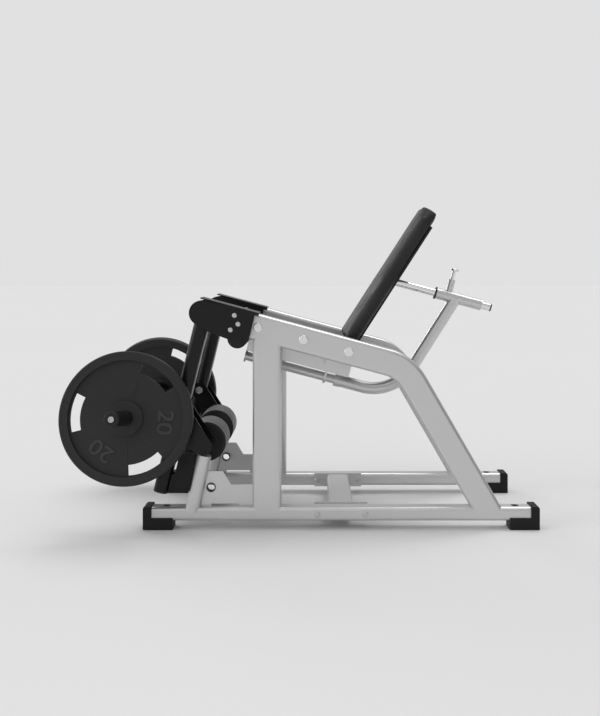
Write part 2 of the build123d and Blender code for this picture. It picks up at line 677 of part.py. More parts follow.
def weight_plate(side):
    """Disc weight: thick rim and hub, a thinner web, and three hand windows."""
    inner = STOP_RING_END + CONTACT_GAP
    recess = (PLATE_THICK - PLATE_WEB) / 2
    with BuildPart() as disc:
        add(bar(on_horn(side, inner), PLATE_RADIUS, PLATE_THICK))
        fillet(disc.edges().filter_by(GeomType.CIRCLE), 6)
        for start in (inner, inner + PLATE_THICK - recess):
            with BuildSketch(on_horn(side, start)):
                Circle(PLATE_RIM)
                Circle(PLATE_HUB, mode=Mode.SUBTRACT)
            extrude(amount=recess, mode=Mode.SUBTRACT)
        for index in range(3):
            middle = -side * (WINDOW_FIRST + 120 * index)
            step = on_horn(side, inner + PLATE_THICK - recess - SECTOR_DEPTH)
            add(sector(step, SECTOR_INNER, WINDOW_OUTER, middle, recess), mode=Mode.SUBTRACT)
            window = sector(on_horn(side, inner), WINDOW_INNER, WINDOW_OUTER, middle, PLATE_THICK)
            add(window, mode=Mode.SUBTRACT)
        for near, far in GROOVES:
            with BuildSketch(on_horn(side, inner + PLATE_THICK - GROOVE_DEPTH)):
                Circle(far)
                Circle(near, mode=Mode.SUBTRACT)
            extrude(amount=GROOVE_DEPTH, mode=Mode.SUBTRACT)
        add(bar(on_horn(side, inner), PLATE_BORE, PLATE_THICK), mode=Mode.SUBTRACT)
    return disc.part


# ---- shin rollers ----------------------------------------------------------------------
def roller_link(side):
    """Two plates beside the arm, welded to the axle that carries the roller inboard of them."""
    axle = knee(0, KNEE_HEIGHT - AXLE_DROP)
    pairs = ((ARM_INNER - LINK_GAP - LINK_THICK, ARM_INNER - LINK_GAP),
             (ARM_OUTER + LINK_GAP, ARM_OUTER + LINK_GAP + LINK_THICK))
    with BuildPart() as link:
        for inner, outer in pairs:
            plane, length = across(side, inner, outer)
            with BuildSketch(plane) as outline:
                with Locations(on_arm(LINK_DOWN), axle):
                    Circle(LINK_ROUND)
                with Locations(knee(-44, KNEE_HEIGHT - AXLE_DROP - 4)):
                    Circle(5)
                make_hull(outline.edges())
            extrude(amount=length)
            bore = LINK_BOLT + RUN_FIT
            add(cross_bar(on_arm(LINK_DOWN), bore, plane, length), mode=Mode.SUBTRACT)
        add(cross_bar(axle, AXLE_RADIUS, *across(side, AXLE_INNER, pairs[1][1])))
        add(cross_bar(axle, AXLE_RADIUS + 8, *across(side, AXLE_INNER, AXLE_INNER + 6)))
    return link.part


def link_bolt(side):
    """Hexagon bolt and nut through the arm, on which the roller link turns."""
    reach = ARM_DEPTH / 2 + LINK_GAP + LINK_THICK + CONTACT_GAP
    with BuildPart() as bolt:
        add(cross_bar(on_arm(LINK_DOWN), LINK_BOLT, *across(side, SIDE_Y - reach, SIDE_Y + reach)))
        for start, end in ((SIDE_Y - reach - 8, SIDE_Y - reach), (SIDE_Y + reach, SIDE_Y + reach + 6)):
            plane, length = across(side, start, end)
            with BuildSketch(plane):
                with Locations(on_arm(LINK_DOWN)):
                    RegularPolygon(HEX_SIZE / 2, 6, major_radius=False, rotation=30)
            extrude(amount=length)
    return bolt.part


def roller_core(side):
    """Plastic tube that turns on the axle inside the foam."""
    span = across(side, ROLLER_INNER - 2, ROLLER_OUTER + 1)
    return cross_bar(knee(0, KNEE_HEIGHT - AXLE_DROP), CORE_RADIUS, *span, bore=AXLE_RADIUS + RUN_FIT)


def roller_foam(side):
    """Round foam pad on the core."""
    with BuildPart() as foam:
        span = across(side, ROLLER_INNER, ROLLER_OUTER)
        add(cross_bar(knee(0, KNEE_HEIGHT - AXLE_DROP), ROLLER_RADIUS, *span, bore=CORE_RADIUS))
        rims = foam.edges().filter_by(GeomType.CIRCLE).sort_by(SortBy.RADIUS)
        fillet(rims[-2:], 8)
    return foam.part


# ---- seat ------------------------------------------------------------------------------
def tie_blocks(at):
    """Outline of one seat tie: a bar under the seat with an upright end on each top rail."""
    low, high = SEAT_BASE - PAN_SHEET - TIE_DEPTH, SEAT_BASE - PAN_SHEET
    start, end = at - TIE_WIDTH / 2, at + TIE_WIDTH / 2
    beam = [sloped(*spot) for spot in ((start, low), (end, low), (end, high), (start, high))]
    tall = [sloped(*spot) for spot in ((start, low), (end, low), (end, 5), (start, 5))]
    with BuildPart() as tie:
        add(slab(beam, upright(RAIL_INNER), 2 * RAIL_INNER))
        for side in SIDES.values():
            add(slab(tall, *across(side, RAIL_INNER - FLANGE_THICK, RAIL_INNER)))
    return tie.part


def seat_ties():
    """Two cross ties that carry the seat pan between the top rails."""
    return group(tie_blocks(at) for at in TIES_AT)


def seat_pan():
    """Folded sheet under the seat, notched over the ties."""
    with BuildPart() as pan:
        with BuildSketch(down_slope(PAN_FRONT, 0)):
            height = SEAT_BASE - PAN_BOTTOM
            with Locations((0, (SEAT_BASE + PAN_BOTTOM) / 2)):
                Rectangle(2 * PAN_HALF, height)
            with Locations((0, (SEAT_BASE + PAN_BOTTOM) / 2 - PAN_SHEET)):
                Rectangle(2 * (PAN_HALF - PAN_SHEET), height, mode=Mode.SUBTRACT)
        extrude(amount=PAN_REAR - PAN_FRONT)
        for at in TIES_AT:
            add(tie_blocks(at), mode=Mode.SUBTRACT)
    return pan.part


def seat_pad():
    """Upholstered seat: flat top, rounded front edge."""
    outline = [(SEAT_FRONT + 30, SEAT_BASE), (SEAT_FRONT, -20), (SEAT_FRONT + 12, 2)]
    outline += [(SEAT_FRONT + 40, SEAT_TOP), (SEAT_REAR - 20, SEAT_TOP)]
    outline += [(SEAT_REAR, SEAT_TOP - 20), (SEAT_REAR, SEAT_BASE)]
    return slab([sloped(*spot) for spot in outline], upright(SEAT_HALF), 2 * SEAT_HALF)


def seat_roll():
    """Rounded knee roll under the front edge of the seat."""
    with BuildPart() as roll:
        add(cross_bar(sloped(*ROLL_AT), ROLL_RADIUS, upright(SEAT_HALF), 2 * SEAT_HALF))
        add(seat_pad(), mode=Mode.SUBTRACT)
        corners = ((PAN_FRONT, PAN_BOTTOM - 20), (PAN_FRONT + 30, PAN_BOTTOM - 20))
        corners += ((PAN_FRONT + 30, SEAT_TOP), (PAN_FRONT, SEAT_TOP))
        spare = [sloped(*spot) for spot in corners]
        add(slab(spare, upright(SEAT_HALF + 1), 2 * SEAT_HALF + 2), mode=Mode.SUBTRACT)
    return roll.part


def spine_tube():
    """Round tube under the seat that joins the back carrier."""
    start = down_slope(SPINE_START, -SPINE_BELOW)
    return bar(start, SPINE_RADIUS, SPINE_END - SPINE_START, bore=SPINE_RADIUS - SPINE_WALL)


def spine_clamps():
    """Plates that hang the spine tube from the seat ties, and the collar at its rear end."""
    top = SEAT_BASE - PAN_SHEET - TIE_DEPTH
    clamps = []
    for at in TIES_AT:
        with BuildPart() as hanger:
            with BuildSketch(down_slope(at - 4, 0)):
                with Locations((0, (top - SPINE_BELOW) / 2)):
                    Rectangle(2 * COLLAR_RADIUS, SPINE_BELOW + top)
                with Locations((0, -SPINE_BELOW)):
                    Circle(COLLAR_RADIUS)
                    Circle(SPINE_RADIUS, mode=Mode.SUBTRACT)
            extrude(amount=8)
        clamps.append(hanger.part)
    collar = down_slope(SPINE_END - COLLAR_LENGTH, -SPINE_BELOW)
    clamps.append(bar(collar, COLLAR_RADIUS, COLLAR_LENGTH, bore=SPINE_RADIUS))
    return group(clamps)


def spine_cap():
    """Disc on the front end of the spine tube."""
    return bar(down_slope(SPINE_START - 6, -SPINE_BELOW), SPINE_CAP, 6)


# ---- back rest -------------------------------------------------------------------------
def carrier_line():
    """Middle line of the back carrier, from the collar to the middle of the sleeve."""
    start, corner = sloped(SPINE_END, -SPINE_BELOW), sloped(CARRIER_CORNER, -SPINE_BELOW)
    lean = radians(CARRIER_TILT - SLOPE)
    rise = ROD_ABOVE + SPINE_BELOW
    top = sloped(CARRIER_CORNER + rise * tan(lean), ROD_ABOVE)
    with BuildLine(upright(0)) as line:
        FilletPolyline(start, corner, top, radius=CARRIER_BEND)
    return line.wires()[0]


def back_carrier():
    """Bent round tube from the spine up to the sleeve, coped to the sleeve and cross tube."""
    line = carrier_line()
    with BuildPart() as carrier:
        with BuildSketch(Plane(origin=line @ 0, x_dir=(0, 1, 0), z_dir=line % 0)):
            Circle(CARRIER_RADIUS)
            Circle(CARRIER_RADIUS - TUBE_WALL, mode=Mode.SUBTRACT)
        sweep(path=line)
        sleeve = down_slope(SLEEVE_FRONT - 40, ROD_ABOVE)
        add(bar(sleeve, SLEEVE_RADIUS, SLEEVE_REAR - SLEEVE_FRONT + 80), mode=Mode.SUBTRACT)
        add(cross_tube_solid(), mode=Mode.SUBTRACT)
    return max(carrier.part.solids(), key=lambda solid: solid.volume)


def back_sleeve():
    """Tube that the back rest's rod slides in, with a hole for the lock pin."""
    with BuildPart() as sleeve:
        add(bar(down_slope(SLEEVE_FRONT, ROD_ABOVE), SLEEVE_RADIUS, SLEEVE_REAR - SLEEVE_FRONT,
                bore=SLEEVE_BORE))
        add(bar(pin_plane(0), BARREL_BORE, SLEEVE_RADIUS + 5), mode=Mode.SUBTRACT)
    return sleeve.part


def sleeve_ring():
    """Wiper ring on the front of the sleeve."""
    return bar(down_slope(SLEEVE_FRONT - RING_LENGTH, ROD_ABOVE), RING_RADIUS, RING_LENGTH,
               bore=SLEEVE_BORE)


def pin_plane(up):
    """A plane square to the lock pin, up from the rod's middle line."""
    x, z = sloped(PIN_AT, ROD_ABOVE + up)
    return Plane(origin=(x, 0, z), x_dir=(0, 1, 0), z_dir=(S_SIN, 0, S_COS))


def pin_barrel():
    """Barrel of the lock pin, standing on the sleeve. Its lid guides the pin's stem."""
    top = SLEEVE_RADIUS + BARREL_HEIGHT
    with BuildPart() as barrel:
        add(bar(pin_plane(SLEEVE_RADIUS - 8), BARREL_RADIUS, BARREL_HEIGHT + 8, bore=BARREL_BORE))
        add(bar(pin_plane(top - BARREL_LID), BARREL_RADIUS, BARREL_LID, bore=STEM_RADIUS + PIN_CLEARANCE))
        sleeve = down_slope(SLEEVE_FRONT, ROD_ABOVE)
        add(bar(sleeve, SLEEVE_RADIUS, SLEEVE_REAR - SLEEVE_FRONT), mode=Mode.SUBTRACT)
    return barrel.part


def lock_pin():
    """Pull pin: a nose in the rod's keyway, a shoulder under the spring, a stem and a knob."""
    nose_low = ROD_RADIUS - KEYWAY_DEPTH + 1
    neck = SLEEVE_RADIUS + BARREL_HEIGHT + PIN_CLEARANCE
    knob_low = neck + 32
    with BuildPart() as pin:
        add(bar(pin_plane(nose_low), NOSE_RADIUS, SHOULDER_LOW - nose_low))
        add(bar(pin_plane(SHOULDER_LOW), BARREL_BORE - PIN_CLEARANCE, SHOULDER_HIGH - SHOULDER_LOW))
        add(bar(pin_plane(SHOULDER_HIGH), STEM_RADIUS, neck - SHOULDER_HIGH))
        add(bar(pin_plane(neck), PIN_RADIUS, knob_low - neck))
        add(bar(pin_plane(knob_low), KNOB_RADIUS, KNOB_HEIGHT))
        fillet(pin.edges().filter_by(GeomType.CIRCLE).sort_by(SortBy.RADIUS)[-2:], 3)
    return pin.part


def pin_spring():
    """Spring between the pin's shoulder and the barrel's lid, drawn as the sleeve it fills."""
    length = SLEEVE_RADIUS + BARREL_HEIGHT - BARREL_LID - SHOULDER_HIGH
    return bar(pin_plane(SHOULDER_HIGH), BARREL_BORE - 2 * PIN_CLEARANCE, length,
               bore=STEM_RADIUS + PIN_CLEARANCE)


def back_rod():
    """Sliding rod with a keyway along its top."""
    with BuildPart() as rod:
        add(bar(down_slope(ROD_FRONT, ROD_ABOVE), ROD_RADIUS, ROD_REAR - ROD_FRONT))
        floor = ROD_ABOVE + ROD_RADIUS - KEYWAY_DEPTH
        spots = ((KEYWAY_FRONT, floor), (KEYWAY_REAR, floor), (KEYWAY_REAR, floor + 20))
        spots += ((KEYWAY_FRONT, floor + 20),)
        half = NOSE_RADIUS + 0.5
        add(slab([sloped(*spot) for spot in spots], upright(half), 2 * half), mode=Mode.SUBTRACT)
    return rod.part


def rod_cap():
    """Plug on the rear end of the rod."""
    return bar(down_slope(ROD_REAR, ROD_ABOVE), ROD_RADIUS, ROD_CAP)


def back_board():
    """Board behind the back pad, with the welded flange that holds the rod."""
    high = BACK_LENGTH - 55
    outline = [on_back(BOARD_INSET), on_back(high), on_back(high, -BOARD_THICK)]
    outline += [on_back(BOARD_INSET, -BOARD_THICK)]
    half = BACK_NARROW - BOARD_INSET
    rise = (ROD_ABOVE - BACK_FOOT[1]) / cos(radians(BACK_TILT - SLOPE))
    rear = -BOARD_THICK - ROD_FLANGE
    flange = [on_back(rise - 40, -BOARD_THICK), on_back(rise + 40, -BOARD_THICK)]
    flange += [on_back(rise + 40, rear), on_back(rise - 40, rear)]
    with BuildPart() as board:
        add(slab(outline, upright(half), 2 * half))
        add(slab(flange, upright(35), 70))
        reach = bar(down_slope(ROD_FRONT, ROD_ABOVE), ROD_RADIUS, ROD_REAR - ROD_FRONT)
        add(reach, mode=Mode.SUBTRACT)
    return board.part


def back_pad():
    """Back cushion: a square side, bevelled front, and a waist in its upper half."""
    thick = BACK_SIDE + BACK_BEVEL
    waist_low, waist_high = BACK_LENGTH - 321, BACK_LENGTH - 255
    shape = [(0, BACK_WIDE), (waist_low, BACK_WIDE), (waist_high, BACK_NARROW)]
    shape += [(BACK_LENGTH - 50, BACK_NARROW), (BACK_LENGTH, BACK_NARROW - 28)]
    outline = shape + [(up, -half) for up, half in reversed(shape)]
    foot = on_back(0)
    lean = radians(BACK_TILT)
    face = Plane(origin=(foot[0], 0, foot[1]), x_dir=(sin(lean), 0, cos(lean)),
                 z_dir=(-cos(lean), 0, sin(lean)))
    with BuildPart() as pad:
        with BuildSketch(face):
            with BuildLine():
                Polyline(*outline, close=True)
            make_face()
        extrude(amount=thick)
        front = pad.faces().sort_by(Axis(face.origin, face.z_dir))[-1]
        sides = front.edges().filter_by(lambda edge: abs(edge.center().Y) > BACK_NARROW / 2)
        chamfer(sides, BACK_BEVEL, BACK_NARROW - BACK_FLAT, reference=front)
    return pad.part


# ---- every piece, in its own file ------------------------------------------------------
for name, side in SIDES.items():
    save(base_rail(side), f"{name}_base_rail")
    save(front_post(side), f"{name}_front_post")
    save(top_rail(side), f"{name}_top_rail")
    for place in (True, False):
        save(bracket_plate(side, place), f"{name}_pivot_{'outer' if place else 'inner'}_plate")
    save(arm(side), f"{name}_arm")
    save(arm_bearings(side), f"{name}_arm_bearings")
    save(arm_cap(side), f"{name}_arm_cap")
    save(weight_horn(side), f"{name}_weight_horn")
    save(horn_cap(side), f"{name}_horn_cap")
    save(weight_plate(side), f"{name}_weight_plate")
    save(roller_link(side), f"{name}_roller_link")
    save(link_bolt(side), f"{name}_link_bolt")
    save(roller_core(side), f"{name}_roller_core")
    save(roller_foam(side), f"{name}_roller_foam")

save(group(shoe(side, -1) for side in SIDES.values()), "front_shoes")
save(group(shoe(side, 1) for side in SIDES.values()), "rear_shoes")
save(cross_beam(), "cross_beam")
save(beam_bolts(), "cross_beam_bolts")
caps = [button(side, sloped(CAP_FIRST + index * CAP_PITCH, 0), RAIL_OUTER, CAP_RADIUS, CAP_RISE)
        for side in SIDES.values() for index in range(3)]
save(group(caps), "rail_bolt_caps")
save(cross_tube_solid(), "rear_cross_tube")
save(group(stop_post(side) for side in SIDES.values()), "stop_posts")
save(group(stop_buffer(side) for side in SIDES.values()), "stop_buffers")
save(group(gusset_plate(side) for side in SIDES.values()), "gusset_plates")
save(group(gusset_bush(side) for side in SIDES.values()), "gusset_bushes")
save(group(bracket_cover(side) for side in SIDES.values()), "pivot_covers")
save(bracket_bolts(), "pivot_plate_bolts")
save(pivot_shafts(), "pivot_shafts")
save(seat_ties(), "seat_ties")
save(seat_pan(), "seat_pan")
save(seat_pad(), "seat_pad")
save(seat_roll(), "seat_roll")
save(spine_tube(), "spine_tube")
save(spine_clamps(), "spine_clamps")
save(spine_cap(), "spine_cap")
save(back_carrier(), "back_carrier")
save(back_sleeve(), "back_sleeve")
save(sleeve_ring(), "sleeve_ring")
save(pin_barrel(), "pin_barrel")
save(lock_pin(), "lock_pin")
save(pin_spring(), "pin_spring")
save(back_rod(), "back_rod")
save(rod_cap(), "rod_cap")
save(back_board(), "back_board")
save(back_pad(), "back_pad")
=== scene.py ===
# %% [markdown]
# # A plate-loaded leg machine
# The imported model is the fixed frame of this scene: every tube, bolt and hinge comes from it.
# This script adds the soft pads, the small details and a finish for every surface.
# All lengths are in metres, +Z is up, and the seated person faces -X.

# %% Load the frame
import json
import math
import bpy
from mathutils import Matrix, Vector


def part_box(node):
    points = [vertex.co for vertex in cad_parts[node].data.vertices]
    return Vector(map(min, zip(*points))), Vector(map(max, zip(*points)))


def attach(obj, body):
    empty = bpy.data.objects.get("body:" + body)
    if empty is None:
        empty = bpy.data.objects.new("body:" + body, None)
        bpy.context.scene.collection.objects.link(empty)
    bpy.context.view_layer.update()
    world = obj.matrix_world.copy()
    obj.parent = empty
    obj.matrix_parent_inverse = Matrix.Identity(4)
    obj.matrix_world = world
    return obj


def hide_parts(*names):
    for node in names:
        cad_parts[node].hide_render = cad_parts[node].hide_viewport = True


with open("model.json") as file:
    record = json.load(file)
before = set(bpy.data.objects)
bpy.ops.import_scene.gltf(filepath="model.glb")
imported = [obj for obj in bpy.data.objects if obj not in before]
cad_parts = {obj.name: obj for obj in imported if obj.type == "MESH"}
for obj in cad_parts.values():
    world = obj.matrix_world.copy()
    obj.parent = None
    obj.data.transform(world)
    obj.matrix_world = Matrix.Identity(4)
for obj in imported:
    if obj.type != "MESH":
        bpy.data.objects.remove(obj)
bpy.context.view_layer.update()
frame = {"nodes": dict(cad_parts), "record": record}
nodes = frame["nodes"]
record = frame["record"]

# %% [markdown]
# The machine is one slope and its square: the seat, the rails and the back rest's rod all
# lie along a 15 degree line. Joint positions in the record give the axes that new pieces
# are placed on. The pads' own sizes repeat those of the nodes that they stand for.

# %% Places taken from the frame
joints = {joint["name"]: joint for joint in record["behaviour"]["joints"]}
SIDES = {"left": -1, "right": 1}
knee = Vector(joints["left_arm_swing"]["pos_m"])
slide = Vector(joints["back_slide"]["axis"]).normalized()
lift = Vector(joints["lock_pin_pull"]["axis"]).normalized()
across = Vector((0, 1, 0))


def sloped(along, above, y=0.0):
    """A point along the slope from the knee axis, square above it, and out to one side."""
    return Vector((knee.x, y, knee.z)) + slide * along + lift * above


def turn(x_axis, y_axis, z_axis, origin):
    """The matrix that puts a piece, modelled about zero, on three axes at a point."""
    return Matrix.Translation(origin) @ Matrix((x_axis, y_axis, z_axis)).transposed().to_4x4()


def settle(piece, matrix):
    """Moves the mesh itself, so that the object stays at the origin, unturned."""
    piece.data.transform(matrix)
    piece.matrix_world = Matrix.Identity(4)
    if matrix.determinant() < 0:
        piece.data.flip_normals()
    return piece


print("knee axis", tuple(knee), "slope", tuple(slide))

# %% [markdown]
# ## Helpers for modelling
# An operator works on whatever is selected, so each step first deselects everything, then
# selects by place. Modifiers are applied at once, which leaves plain meshes.


# %% Modelling helpers
def only(piece):
    """Selects one piece and makes it the active one."""
    bpy.ops.object.select_all(action="DESELECT")
    piece.select_set(True)
    bpy.context.view_layer.objects.active = piece


def fresh(name):
    """Names the primitive that was just added, and applies its scale and place."""
    piece = bpy.context.active_object
    piece.name = name
    only(piece)
    bpy.ops.object.transform_apply(location=True, rotation=True, scale=True)
    return piece


def block(name, low, high):
    """A box between two corners, as a start for shaping."""
    low, high = Vector(low), Vector(high)
    bpy.ops.object.select_all(action="DESELECT")
    bpy.ops.mesh.primitive_cube_add(size=1, location=(low + high) / 2)
    bpy.context.active_object.scale = high - low
    return fresh(name)


def drum(name, radius, depth, sides=96, centre=(0, 0, 0)):
    """A closed cylinder along Z, as a start for shaping."""
    bpy.ops.object.select_all(action="DESELECT")
    bpy.ops.mesh.primitive_cylinder_add(radius=radius, depth=depth, vertices=sides, location=centre)
    return fresh(name)


def finish_with(piece, kind, **settings):
    """Adds a modifier with its settings and applies it."""
    only(piece)
    modifier = piece.modifiers.new(kind.lower(), kind)
    for key, value in settings.items():
        setattr(modifier, key, value)
    bpy.ops.object.modifier_apply(modifier=modifier.name)
    return piece


def faces_where(piece, test):
    """Enters face mode with only the faces whose centre and normal pass the test selected."""
    only(piece)
    bpy.ops.object.mode_set(mode="EDIT")
    bpy.ops.mesh.select_mode(type="FACE")
    bpy.ops.mesh.select_all(action="DESELECT")
    bpy.ops.object.mode_set(mode="OBJECT")
    for face in piece.data.polygons:
        face.select = test(face.center, face.normal)
    bpy.ops.object.mode_set(mode="EDIT")


def smooth(piece, angle=40):
    """Leaves edit mode and shades smoothly, apart from sharp edges."""
    if bpy.context.mode != "OBJECT":
        bpy.ops.object.mode_set(mode="OBJECT")
    only(piece)
    bpy.ops.object.shade_smooth_by_angle(angle=math.radians(angle))
    return piece


def dress(piece, material):
    """Gives a piece or a CAD node one material."""
    piece.data.materials.clear()
    piece.data.materials.append(material)


# %% [markdown]
# ## Shared surface effects
# Real paint, rubber and vinyl are never one flat colour. Three node groups make what they
# share: cloudy variation, the pebbled grain of vinyl, and wear on corners. Each gives out
# only masks and heights, and every material sets its own amounts.


# %% Node group helpers
def start_group(name, inputs, outputs):
    """A shader group with float inputs, given as name and default, and float outputs."""
    group = bpy.data.node_groups.new(name, "ShaderNodeTree")
    for label, value in inputs:
        socket = group.interface.new_socket(label, in_out="INPUT", socket_type="NodeSocketFloat")
        socket.default_value = value
    for label in outputs:
        group.interface.new_socket(label, in_out="OUTPUT", socket_type="NodeSocketFloat")
    return group, group.nodes.new("NodeGroupInput"), group.nodes.new("NodeGroupOutput")


def math_node(tree, operation, first, second):
    """A Math node; each operand is a number or an output socket."""
    node = tree.nodes.new("ShaderNodeMath")
    node.operation = operation
    for socket, value in zip(node.inputs, (first, second)):
        if isinstance(value, (int, float)):
            socket.default_value = value
        else:
            tree.links.new(value, socket)
    return node.outputs[0]


# %% Cloudy variation
mottle, group_in, group_out = start_group("mottle", [("Scale", 12.0)], ["Mask", "Height"])
place = mottle.nodes.new("ShaderNodeTexCoord").outputs["Object"]
broad = mottle.nodes.new("ShaderNodeTexNoise")
broad.inputs["Detail"].default_value = 5
mottle.links.new(place, broad.inputs["Vector"])
mottle.links.new(group_in.outputs["Scale"], broad.inputs["Scale"])
fine = mottle.nodes.new("ShaderNodeTexNoise")
fine.inputs["Detail"].default_value = 3
mottle.links.new(place, fine.inputs["Vector"])
mottle.links.new(math_node(mottle, "MULTIPLY", group_in.outputs["Scale"], 45.0), fine.inputs["Scale"])
mottle.links.new(broad.outputs["Fac"], group_out.inputs["Mask"])
mottle.links.new(fine.outputs["Fac"], group_out.inputs["Height"])

# %% Pebbled grain of vinyl
pebble, group_in, group_out = start_group("pebble", [("Scale", 420.0)], ["Mask", "Height"])
place = pebble.nodes.new("ShaderNodeTexCoord").outputs["Object"]
cells = pebble.nodes.new("ShaderNodeTexVoronoi")
cells.feature = "DISTANCE_TO_EDGE"
pebble.links.new(place, cells.inputs["Vector"])
pebble.links.new(group_in.outputs["Scale"], cells.inputs["Scale"])
creases = math_node(pebble, "MINIMUM", math_node(pebble, "MULTIPLY", cells.outputs["Distance"], 5.0), 1.0)
folds = pebble.nodes.new("ShaderNodeTexNoise")
folds.inputs["Scale"].default_value = 14
folds.inputs["Detail"].default_value = 4
pebble.links.new(place, folds.inputs["Vector"])
pebble.links.new(creases, group_out.inputs["Height"])
pebble.links.new(folds.outputs["Fac"], group_out.inputs["Mask"])

# %% Wear on corners
wear, group_in, group_out = start_group("corner_wear", [("Radius", 0.002), ("Amount", 1.0)], ["Mask"])
rounded = wear.nodes.new("ShaderNodeBevel")
rounded.samples = 4
wear.links.new(group_in.outputs["Radius"], rounded.inputs["Radius"])
flat = wear.nodes.new("ShaderNodeNewGeometry").outputs["Normal"]
facing = wear.nodes.new("ShaderNodeVectorMath")
facing.operation = "DOT_PRODUCT"
wear.links.new(rounded.outputs["Normal"], facing.inputs[0])
wear.links.new(flat, facing.inputs[1])
corner = math_node(wear, "SUBTRACT", 1.0, facing.outputs["Value"])
strong = math_node(wear, "MULTIPLY", corner, math_node(wear, "MULTIPLY", group_in.outputs["Amount"], 5.0))
wear.links.new(math_node(wear, "MINIMUM", strong, 1.0), group_out.inputs["Mask"])

# %% [markdown]
# ## Finishes
# One builder makes every finish from the same few choices: two tones that the cloudy mask
# mixes, a range of roughness, a bump height, and how much a corner is rubbed lighter.


# %% The finish builder
def finish(name, dark, light, rough, metallic=0.0, scale=12.0, bump=0.0, grain=None, rub=None, coat=0.0,
           **fixed):
    """A procedural material. Tones are linear greys or colours, rough is a low and a high."""
    material = bpy.data.materials.new(name)
    material.use_nodes = True
    tree = material.node_tree
    shader = tree.nodes["Principled BSDF"]
    shader.inputs["Metallic"].default_value = metallic
    shader.inputs["Coat Weight"].default_value = coat
    shader.inputs["Coat Roughness"].default_value = 0.15
    for label, value in fixed.items():
        shader.inputs[label.replace("_", " ")].default_value = value
    pattern = tree.nodes.new("ShaderNodeGroup")
    pattern.node_tree = grain or mottle
    pattern.inputs["Scale"].default_value = scale
    tones = tree.nodes.new("ShaderNodeMix")
    tones.data_type = "RGBA"
    for socket, tone in ((tones.inputs["A"], dark), (tones.inputs["B"], light)):
        colour = (tone, tone, tone) if isinstance(tone, float) else tone
        socket.default_value = (*colour, 1.0)
    tree.links.new(pattern.outputs["Mask"], tones.inputs["Factor"])
    colour = tones.outputs["Result"]
    if rub:
        worn = tree.nodes.new("ShaderNodeGroup")
        worn.node_tree = wear
        worn.inputs["Amount"].default_value = rub[1]
        rubbed = tree.nodes.new("ShaderNodeMix")
        rubbed.data_type = "RGBA"
        rubbed.inputs["B"].default_value = (rub[0], rub[0], rub[0], 1.0)
        tree.links.new(worn.outputs["Mask"], rubbed.inputs["Factor"])
        tree.links.new(colour, rubbed.inputs["A"])
        colour = rubbed.outputs["Result"]
    tree.links.new(colour, shader.inputs["Base Color"])
    spread = tree.nodes.new("ShaderNodeMapRange")
    spread.inputs["From Min"].default_value = 0.3
    spread.inputs["From Max"].default_value = 0.7
    spread.inputs["To Min"].default_value = rough[0]
    spread.inputs["To Max"].default_value = rough[1]
    tree.links.new(pattern.outputs["Mask"], spread.inputs["Value"])
    tree.links.new(spread.outputs["Result"], shader.inputs["Roughness"])
    if bump:
        relief = tree.nodes.new("ShaderNodeBump")
        relief.inputs["Distance"].default_value = bump
        relief.inputs["Strength"].default_value = 0.6
        tree.links.new(pattern.outputs["Height"], relief.inputs["Height"])
        tree.links.new(relief.outputs["Normal"], shader.inputs["Normal"])
    return material


# %% The finishes
silver = finish("silver_paint", 0.62, 0.66, (0.30, 0.34), metallic=0.7, scale=5, coat=0.15)
black = finish("black_paint", 0.003, 0.006, (0.26, 0.34), scale=10, rub=(0.03, 0.3),
               Specular_IOR_Level=0.28)
zinc = finish("zinc", 0.50, 0.66, (0.25, 0.42), metallic=0.9, scale=60)
dome = finish("dome_cap", 0.80, 0.86, (0.12, 0.18), metallic=0.5, scale=20)
bronze = finish("bronze", (0.30, 0.19, 0.08), (0.42, 0.28, 0.13), (0.3, 0.45), metallic=1.0, scale=40)
plastic = finish("black_plastic", 0.008, 0.013, (0.40, 0.55), scale=30, bump=0.0001, Specular_IOR_Level=0.35)
rubber = finish("black_rubber", 0.006, 0.012, (0.55, 0.75), scale=18, bump=0.0003, rub=(0.025, 0.4),
                Specular_IOR_Level=0.3)
vinyl = finish("black_vinyl", 0.009, 0.016, (0.40, 0.56), grain=pebble, scale=420, bump=0.00025,
               Specular_IOR_Level=0.4)
iron = finish("weight_coating", 0.018, 0.026, (0.50, 0.66), scale=14, bump=0.0004, rub=(0.06, 0.8),
              Specular_IOR_Level=0.35)
raised = finish("raised_figures", 0.026, 0.036, (0.45, 0.6), scale=14, bump=0.0004, rub=(0.08, 0.8))
cover = finish("roller_cover", 0.15, 0.20, (0.45, 0.60), grain=pebble, scale=380, bump=0.0002)
chrome = finish("chrome", 0.80, 0.88, (0.06, 0.14), metallic=1.0, scale=30)
steel = finish("spring_steel", 0.40, 0.52, (0.25, 0.4), metallic=1.0, scale=60)
FINISHES = {
    "frame_silver": silver, "black_steel": black, "zinc": zinc, "cap_silver": dome, "bronze": bronze,
    "black_plastic": plastic, "black_rubber": rubber, "black_vinyl": vinyl, "weight_grey": iron,
    "roller_grey": cover, "chrome": chrome, "spring_steel": steel,
}
for part in record["subparts"]:
    dress(nodes[part["node"]], FINISHES[part["material_slot"]])
print("finishes", len(FINISHES))

# %% [markdown]
# ## The back pad
# The pad is foam on a board, under vinyl. Its shape is hard-edged: a square side, a wide
# bevel towards a flat front, a waist, and a cut top. It is drawn by extruding one end face
# up through the stations where its width changes, then pulling the front faces forward.
# A short cloth simulation with air pressure then gives it the slight swell of real foam.


